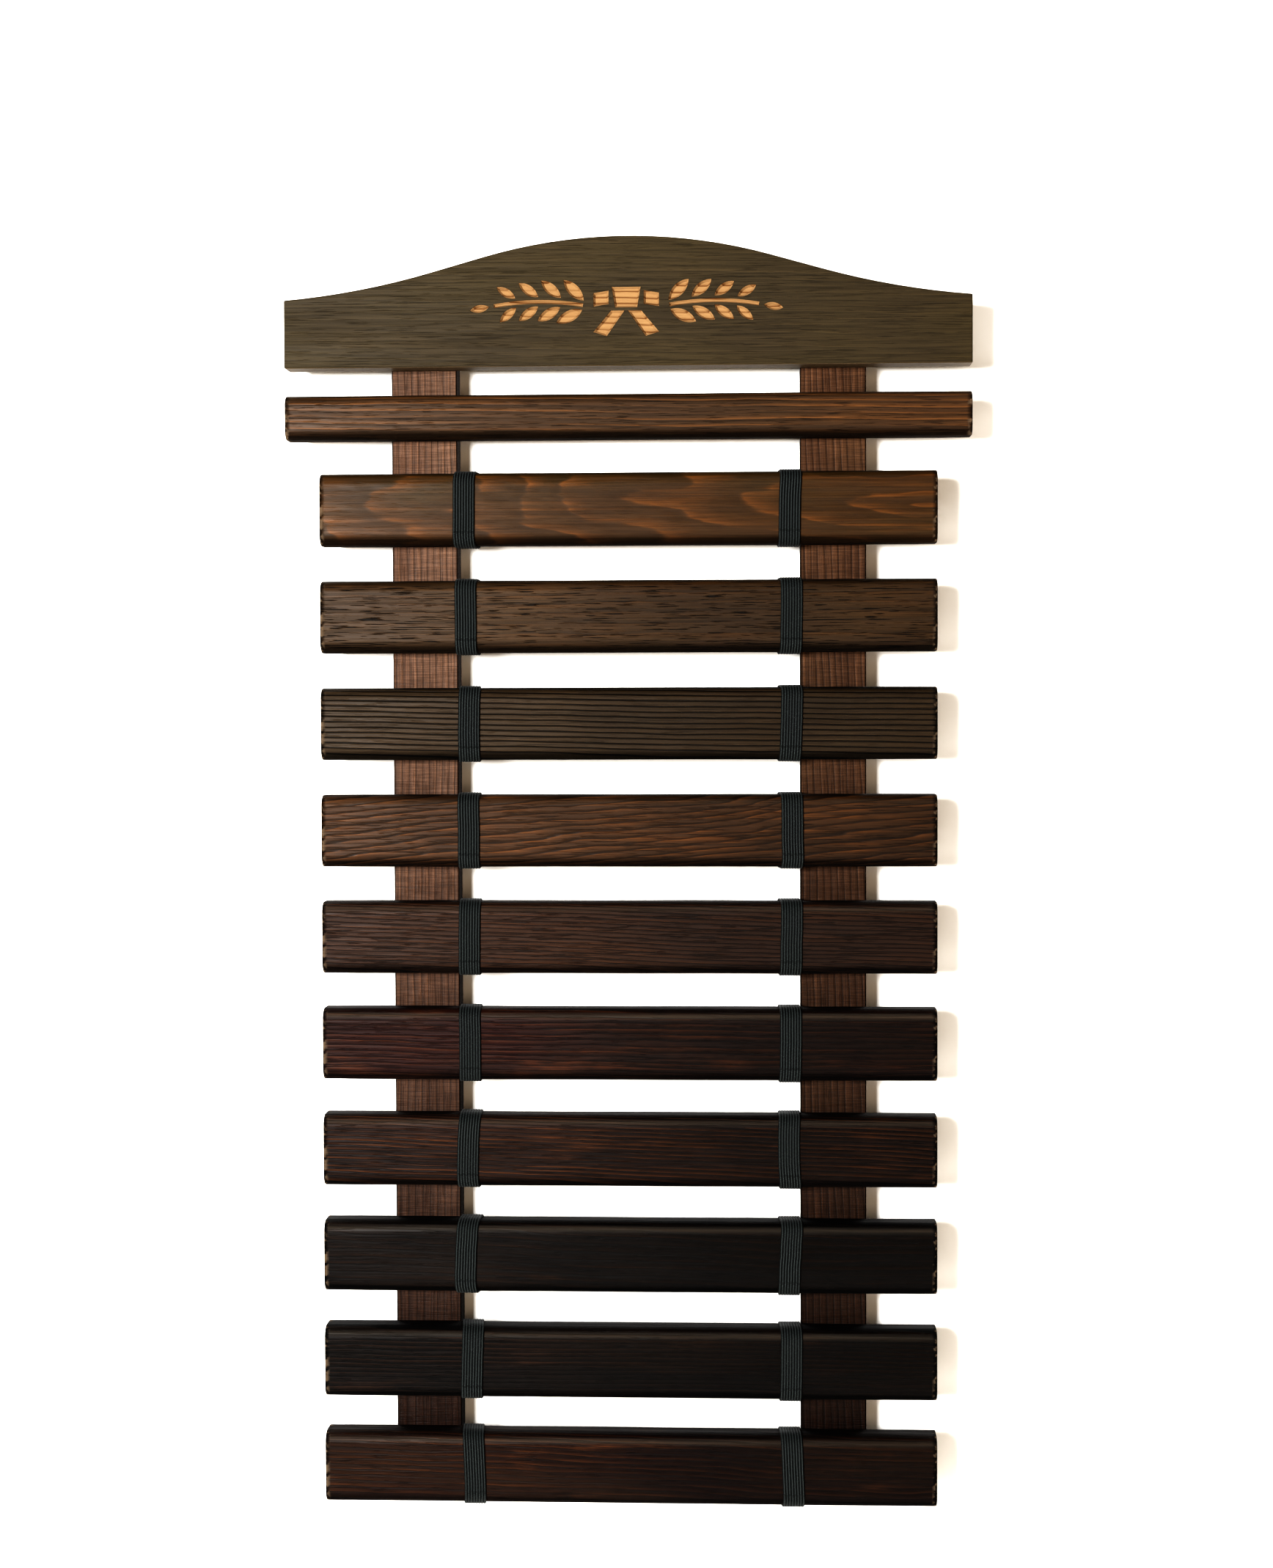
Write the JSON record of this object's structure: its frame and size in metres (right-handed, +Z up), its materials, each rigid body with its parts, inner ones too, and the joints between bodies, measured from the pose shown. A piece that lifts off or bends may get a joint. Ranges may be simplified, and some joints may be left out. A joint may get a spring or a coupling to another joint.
{
  "type": "martial arts belt display rack",
  "caption": "Wall rack of wide wooden slats on upright rails under a carved header board, with sliding elastic loops that hold folded belts.",
  "frame": {"origin": "on the wall plane, halfway between the entry holes of the two keyhole hangers", "axes": "+X to the right as seen from the room, +Y from the room towards the wall, +Z up"},
  "size_m": [0.4, 0.0374, 0.7442],
  "materials": {
    "header_wood": "matte dark stain",
    "slat_wood": "semi-gloss dark walnut stain",
    "rail_wood": "satin walnut stain",
    "elastic": "ribbed black knitted elastic",
    "screw_steel": "yellow zinc plated",
    "plate_steel": "bright zinc plated"
  },
  "bodies": {
    "rack": {"header_board": "header_wood", "narrow_slat": "slat_wood", "slat_01": "slat_wood", "slat_02": "slat_wood", "slat_03": "slat_wood", "slat_04": "slat_wood", "slat_05": "slat_wood", "slat_06": "slat_wood", "slat_07": "slat_wood", "slat_08": "slat_wood", "slat_09": "slat_wood", "slat_10": "slat_wood", "left_rail": "rail_wood", "left_rail_screws": "screw_steel", "left_hanger_plate": "plate_steel", "left_hanger_screws": "screw_steel", "right_rail": "rail_wood", "right_rail_screws": "screw_steel", "right_hanger_plate": "plate_steel", "right_hanger_screws": "screw_steel"},
    "left_band_01": {"left_band_01": "elastic"},
    "left_band_02": {"left_band_02": "elastic"},
    "left_band_03": {"left_band_03": "elastic"},
    "left_band_04": {"left_band_04": "elastic"},
    "left_band_05": {"left_band_05": "elastic"},
    "left_band_06": {"left_band_06": "elastic"},
    "left_band_07": {"left_band_07": "elastic"},
    "left_band_08": {"left_band_08": "elastic"},
    "left_band_09": {"left_band_09": "elastic"},
    "left_band_10": {"left_band_10": "elastic"},
    "right_band_01": {"right_band_01": "elastic"},
    "right_band_02": {"right_band_02": "elastic"},
    "right_band_03": {"right_band_03": "elastic"},
    "right_band_04": {"right_band_04": "elastic"},
    "right_band_05": {"right_band_05": "elastic"},
    "right_band_06": {"right_band_06": "elastic"},
    "right_band_07": {"right_band_07": "elastic"},
    "right_band_08": {"right_band_08": "elastic"},
    "right_band_09": {"right_band_09": "elastic"},
    "right_band_10": {"right_band_10": "elastic"}
  },
  "joints": [
    {"name": "left_band_01_slide", "type": "slide", "parent": "rack", "child": "left_band_01", "axis": [1, 0, 0], "range_m": [0, 0.085]},
    {"name": "left_band_02_slide", "type": "slide", "parent": "rack", "child": "left_band_02", "axis": [1, 0, 0], "range_m": [0, 0.085]},
    {"name": "left_band_03_slide", "type": "slide", "parent": "rack", "child": "left_band_03", "axis": [1, 0, 0], "range_m": [0, 0.085]},
    {"name": "left_band_04_slide", "type": "slide", "parent": "rack", "child": "left_band_04", "axis": [1, 0, 0], "range_m": [0, 0.085]},
    {"name": "left_band_05_slide", "type": "slide", "parent": "rack", "child": "left_band_05", "axis": [1, 0, 0], "range_m": [0, 0.085]},
    {"name": "left_band_06_slide", "type": "slide", "parent": "rack", "child": "left_band_06", "axis": [1, 0, 0], "range_m": [0, 0.085]},
    {"name": "left_band_07_slide", "type": "slide", "parent": "rack", "child": "left_band_07", "axis": [1, 0, 0], "range_m": [0, 0.085]},
    {"name": "left_band_08_slide", "type": "slide", "parent": "rack", "child": "left_band_08", "axis": [1, 0, 0], "range_m": [0, 0.085]},
    {"name": "left_band_09_slide", "type": "slide", "parent": "rack", "child": "left_band_09", "axis": [1, 0, 0], "range_m": [0, 0.085]},
    {"name": "left_band_10_slide", "type": "slide", "parent": "rack", "child": "left_band_10", "axis": [1, 0, 0], "range_m": [0, 0.085]},
    {"name": "right_band_01_slide", "type": "slide", "parent": "rack", "child": "right_band_01", "axis": [-1, 0, 0], "range_m": [0, 0.085]},
    {"name": "right_band_02_slide", "type": "slide", "parent": "rack", "child": "right_band_02", "axis": [-1, 0, 0], "range_m": [0, 0.085]},
    {"name": "right_band_03_slide", "type": "slide", "parent": "rack", "child": "right_band_03", "axis": [-1, 0, 0], "range_m": [0, 0.085]},
    {"name": "right_band_04_slide", "type": "slide", "parent": "rack", "child": "right_band_04", "axis": [-1, 0, 0], "range_m": [0, 0.085]},
    {"name": "right_band_05_slide", "type": "slide", "parent": "rack", "child": "right_band_05", "axis": [-1, 0, 0], "range_m": [0, 0.085]},
    {"name": "right_band_06_slide", "type": "slide", "parent": "rack", "child": "right_band_06", "axis": [-1, 0, 0], "range_m": [0, 0.085]},
    {"name": "right_band_07_slide", "type": "slide", "parent": "rack", "child": "right_band_07", "axis": [-1, 0, 0], "range_m": [0, 0.085]},
    {"name": "right_band_08_slide", "type": "slide", "parent": "rack", "child": "right_band_08", "axis": [-1, 0, 0], "range_m": [0, 0.085]},
    {"name": "right_band_09_slide", "type": "slide", "parent": "rack", "child": "right_band_09", "axis": [-1, 0, 0], "range_m": [0, 0.085]},
    {"name": "right_band_10_slide", "type": "slide", "parent": "rack", "child": "right_band_10", "axis": [-1, 0, 0], "range_m": [0, 0.085]}
  ]
}
